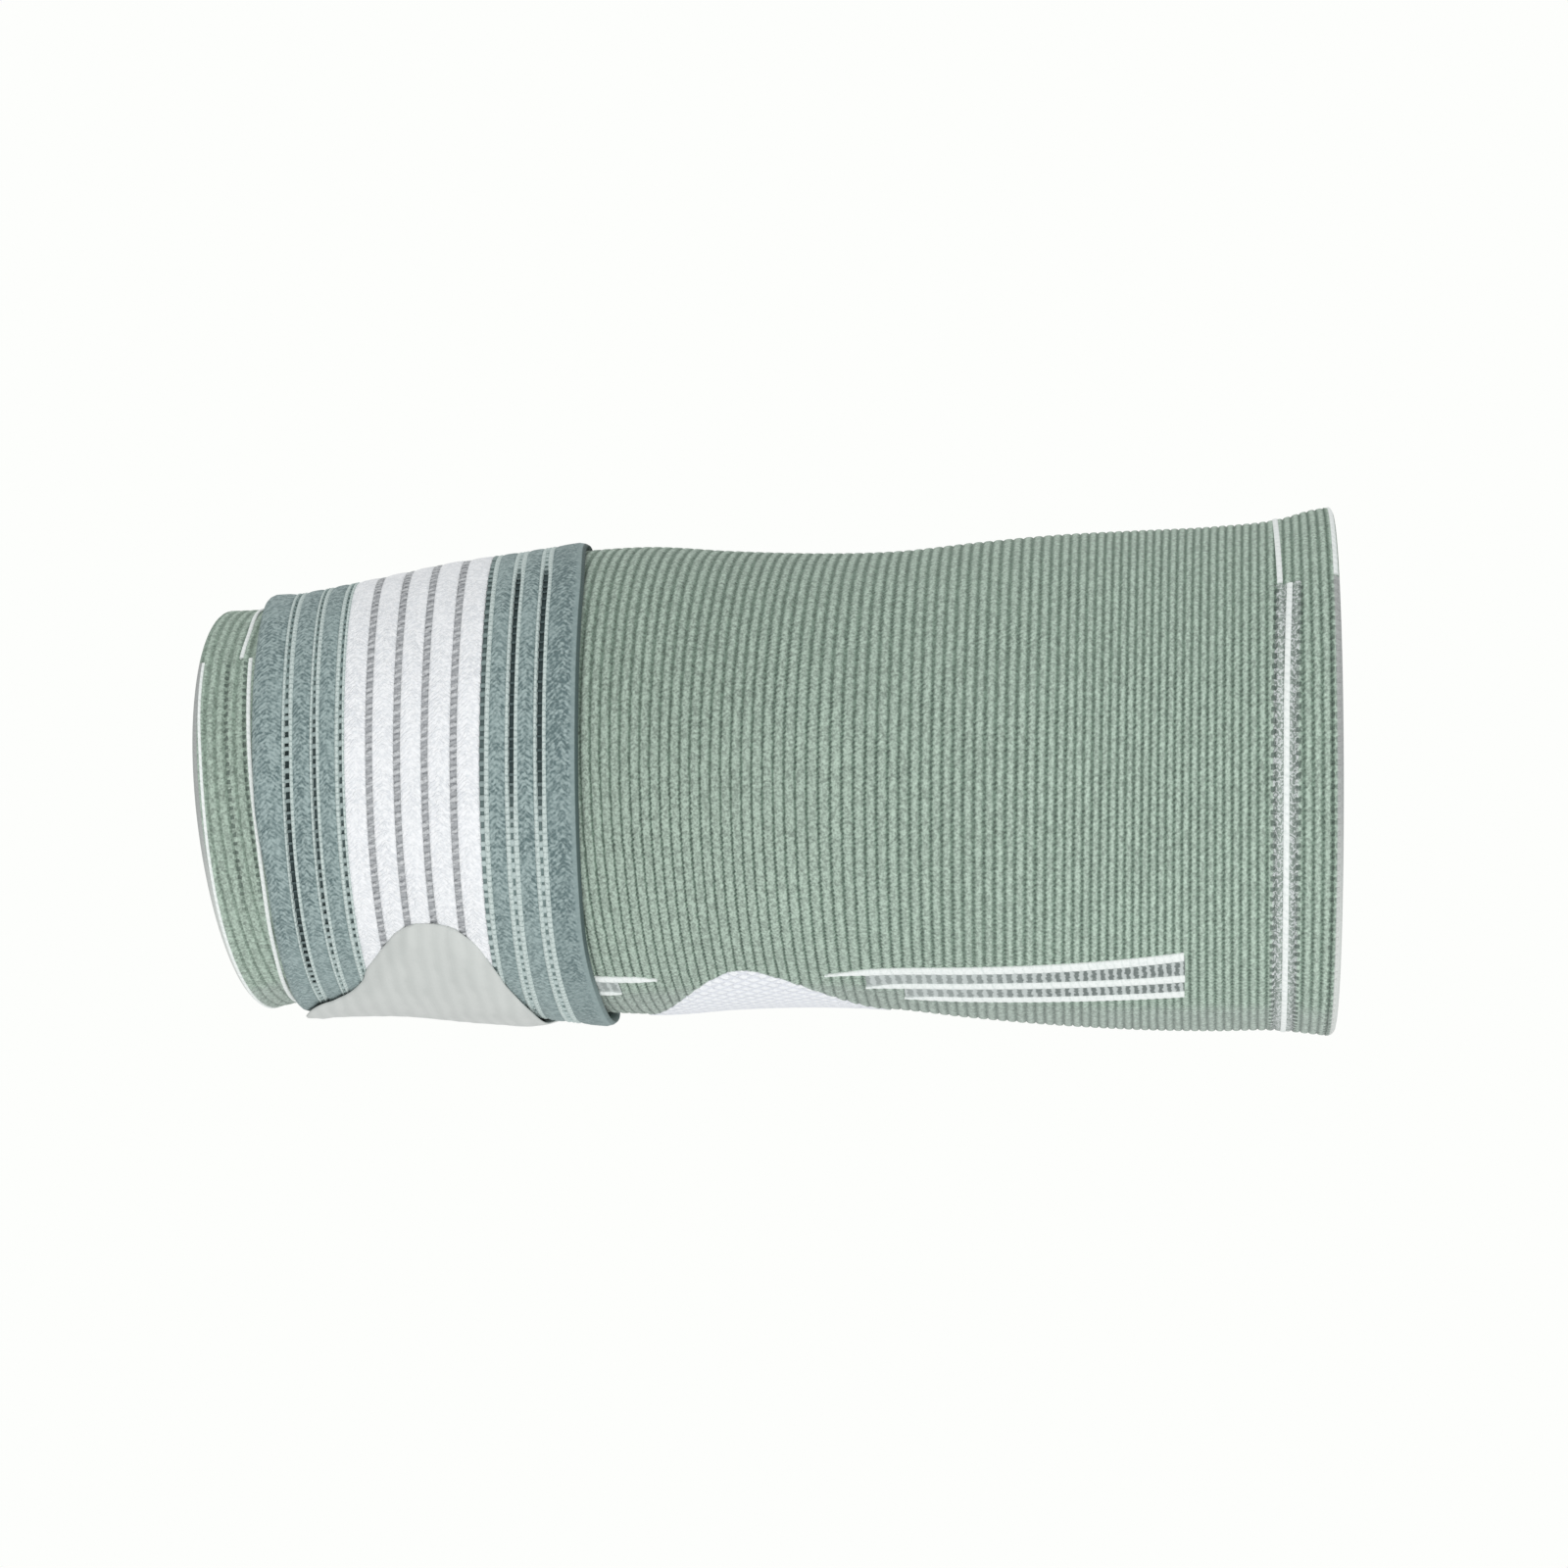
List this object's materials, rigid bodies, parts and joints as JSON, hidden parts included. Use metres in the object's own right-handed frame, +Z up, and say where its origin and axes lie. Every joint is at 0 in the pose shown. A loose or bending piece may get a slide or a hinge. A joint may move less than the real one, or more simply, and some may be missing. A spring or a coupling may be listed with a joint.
{
  "type": "elbow support sleeve with compression strap",
  "caption": "Ribbed knit elbow sleeve, open at both ends, with a wide elastic compression strap wound round its lower end and closed by a tapered fastening tab.",
  "frame": {"origin": "middle of the arm's line inside the sleeve, half way between its two rims", "axes": "+X along the arm from the lower opening, which has the strap, to the upper opening; +Z up in the picture's view; -Y is the front, where the tab is fastened"},
  "size_m": [0.2316, 0.1011, 0.1059],
  "materials": {
    "sage_knit": "ribbed knit, matte, with white hem lines, white stripes and a white elbow field",
    "striped_elastic": "woven elastic webbing, blue-grey herringbone with white stripes and ladder lines",
    "hook_tape": "matte hook tape",
    "tab_cloth": "smooth pale grey satin cloth"
  },
  "bodies": {
    "root": {"sleeve": "sage_knit", "compression_strap": "striped_elastic", "hook_patch": "hook_tape", "fastening_tab": "tab_cloth"}
  },
  "joints": []
}
